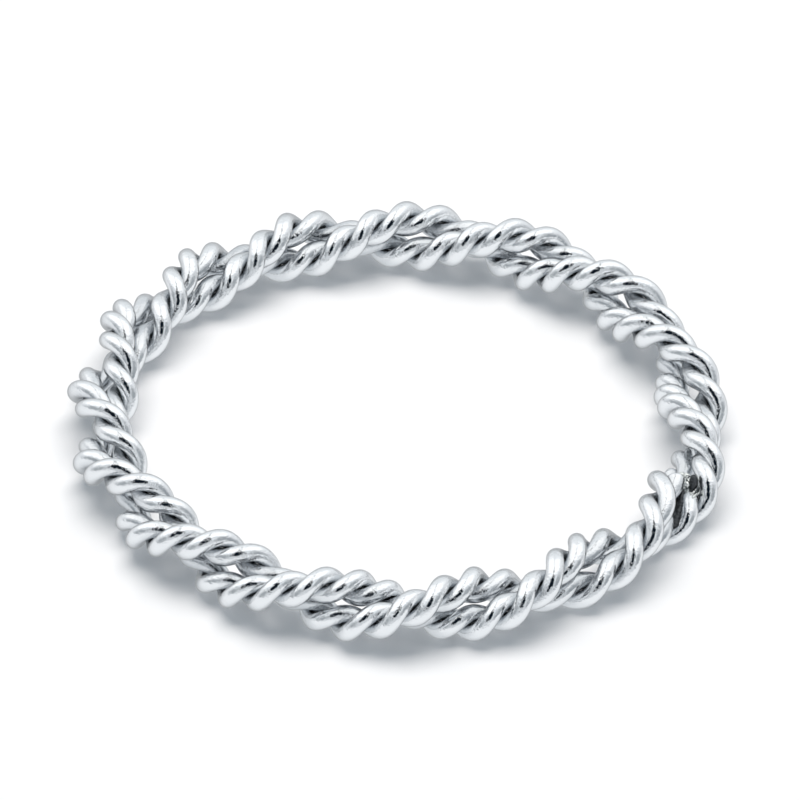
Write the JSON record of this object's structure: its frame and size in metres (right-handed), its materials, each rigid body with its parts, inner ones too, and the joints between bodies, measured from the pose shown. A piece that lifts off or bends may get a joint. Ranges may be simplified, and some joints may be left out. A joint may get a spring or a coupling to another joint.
{
  "type": "rope twist ring",
  "caption": "Slim finger ring of fine silver wires, twisted into cords that wind round each other like a rope and meet at one soldered seam.",
  "frame": {"origin": "bottom centre: on the surface that the ring lies on, in the middle of the finger opening", "axes": "+Z along the finger axis, up from the surface; +X to the side where the soldered seam lies; the wearer's finger goes through along Z"},
  "size_m": [0.022, 0.0221, 0.0024],
  "materials": {
    "silver": "polished, with worn highlights and fine draw marks"
  },
  "bodies": {
    "root": {"wire_a1": "silver", "wire_a2": "silver", "wire_b1": "silver", "wire_b2": "silver"}
  },
  "joints": []
}
